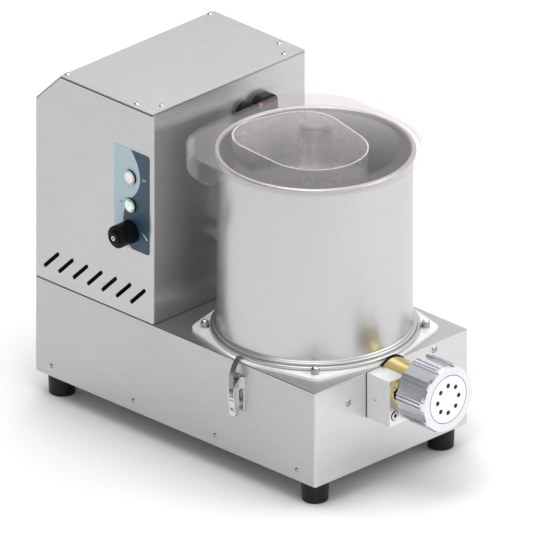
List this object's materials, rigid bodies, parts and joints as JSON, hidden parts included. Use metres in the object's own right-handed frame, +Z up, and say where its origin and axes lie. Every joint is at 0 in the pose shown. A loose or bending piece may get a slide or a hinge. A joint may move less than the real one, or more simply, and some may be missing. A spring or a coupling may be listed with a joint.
{
  "type": "electric pasta maker",
  "caption": "Steel electric pasta maker with a drive tower, a round bowl under a clear lid, a kneading tub, and an auger that pushes dough through a die held by a ring nut",
  "frame": {"origin": "middle of the bounding box's underside, on the surface that the four feet stand on", "axes": "+Z up; -Y is the front, where the ring nut and the die are; +Y is the back of the drive tower; -X is the side with the controls"},
  "size_m": [0.3046, 0.5896, 0.4364],
  "materials": {
    "base_steel": "brushed",
    "tower_steel": "brushed",
    "bright_steel": "polished",
    "bowl_steel": "polished",
    "satin_steel": "satin",
    "screw_steel": "satin",
    "foot_rubber": "matt",
    "label": "printed",
    "white_cap": "glossy",
    "green_ring": "glossy",
    "black_plastic": "matt",
    "clear_plastic": "clear",
    "red_lens": "glossy",
    "brass": "machined",
    "gasket": "matt",
    "die_white": "satin",
    "nut_metal": "satin",
    "gear_steel": "machined",
    "frame_metal": "painted",
    "motor_metal": "painted",
    "board_green": "matt"
  },
  "bodies": {
    "machine": {"base_housing": "base_steel", "bottom_plate": "base_steel", "foot_front_left": "foot_rubber", "foot_front_right": "foot_rubber", "foot_back_left": "foot_rubber", "foot_back_right": "foot_rubber", "tower_shell": "tower_steel", "top_cover": "tower_steel", "cover_screws": "screw_steel", "side_screws": "screw_steel", "control_label": "label", "off_bezel": "bright_steel", "on_bezel": "bright_steel", "on_light_ring": "green_ring", "speed_control": "black_plastic", "bowl": "bowl_steel", "bowl_flange": "bright_steel", "flange_screws": "screw_steel", "kneading_tub": "satin_steel", "trough": "satin_steel", "interlock_housing": "black_plastic", "interlock_lens": "red_lens", "latch_base_left": "bright_steel", "latch_base_right": "bright_steel", "barrel": "brass", "barrel_collar": "brass", "bracket_gasket": "gasket", "head_bracket": "satin_steel", "bracket_screws": "screw_steel", "collar_screw": "brass", "auger_bearing": "brass", "mixer_sleeve": "satin_steel", "drive_frame": "frame_metal", "motor": "motor_metal", "control_board": "board_green", "cable_gland": "black_plastic"},
    "off_button": {"off_button": "white_cap"},
    "on_button": {"on_button": "bright_steel"},
    "speed_knob": {"speed_knob": "black_plastic", "knob_insert": "bright_steel"},
    "lid": {"lid": "clear_plastic", "lid_knob": "clear_plastic"},
    "latch_lever_left": {"latch_lever_left": "bright_steel"},
    "latch_hook_left": {"latch_hook_left": "satin_steel"},
    "latch_lever_right": {"latch_lever_right": "bright_steel"},
    "latch_hook_right": {"latch_hook_right": "satin_steel"},
    "die": {"die_plate": "die_white"},
    "nut": {"ring_nut": "nut_metal"},
    "auger_unit": {"auger": "satin_steel", "auger_shaft": "satin_steel", "auger_gear": "gear_steel"},
    "mixer_unit": {"mixing_arm": "satin_steel", "mixer_gear": "gear_steel"},
    "motor_rotor": {"drive_pinion": "gear_steel"}
  },
  "joints": [
    {"name": "off_button_press", "type": "slide", "parent": "machine", "child": "off_button", "axis": [1, 0, 0], "range_m": [0, 0.002], "stiffness_N_per_m": 500, "springref_m": -0.002},
    {"name": "on_button_press", "type": "slide", "parent": "machine", "child": "on_button", "axis": [1, 0, 0], "range_m": [0, 0.002], "stiffness_N_per_m": 500, "springref_m": -0.002},
    {"name": "knob_turn", "type": "hinge", "parent": "machine", "child": "speed_knob", "pos_m": [-0.1212, 0.11505, 0.2675], "axis": [1, 0, 0], "range_deg": [0, 270]},
    {"name": "lid_lift", "type": "slide", "parent": "machine", "child": "lid", "axis": [0, 0, 1], "range_m": [0, 0.12]},
    {"name": "lever_left", "type": "hinge", "parent": "machine", "child": "latch_lever_left", "pos_m": [-0.1277, -0.06825, 0.1295], "axis": [0, 1, 0], "range_deg": [0, 90]},
    {"name": "hook_left", "type": "hinge", "parent": "latch_lever_left", "child": "latch_hook_left", "pos_m": [-0.1306, -0.06825, 0.11786], "axis": [0, 1, 0], "range_deg": [-115, 1]},
    {"name": "lever_right", "type": "hinge", "parent": "machine", "child": "latch_lever_right", "pos_m": [0.1453, -0.06825, 0.1295], "axis": [0, -1, 0], "range_deg": [0, 90]},
    {"name": "hook_right", "type": "hinge", "parent": "latch_lever_right", "child": "latch_hook_right", "pos_m": [0.1482, -0.06825, 0.11786], "axis": [0, -1, 0], "range_deg": [-115, 1]},
    {"name": "die_slide", "type": "slide", "parent": "machine", "child": "die", "axis": [0, -1, 0], "range_m": [0, 0.035]},
    {"name": "nut_turn", "type": "hinge", "parent": "die", "child": "nut", "pos_m": [0.0088, -0.26825, 0.1363], "axis": [0, -1, 0], "range_deg": [0, 1530]},
    {"name": "auger_spin", "type": "hinge", "parent": "machine", "child": "auger_unit", "pos_m": [0.0088, -0.19825, 0.1363], "axis": [0, -1, 0], "continuous": true},
    {"name": "mixer_spin", "type": "hinge", "parent": "machine", "child": "mixer_unit", "pos_m": [0.0088, 0.10025, 0.2323], "axis": [0, -1, 0], "continuous": true},
    {"name": "motor_spin", "type": "hinge", "parent": "machine", "child": "motor_rotor", "pos_m": [0.0088, 0.10025, 0.3043], "axis": [0, -1, 0], "continuous": true}
  ],
  "couplings": [
    {"joint": "hook_left", "follows": "lever_left", "ratio": -1.25},
    {"joint": "hook_right", "follows": "lever_right", "ratio": -1.25},
    {"joint": "die_slide", "follows": "nut_turn", "m_per_rad": 0.0012732},
    {"joint": "mixer_spin", "follows": "auger_spin", "ratio": -1},
    {"joint": "motor_spin", "follows": "auger_spin", "ratio": 2}
  ]
}
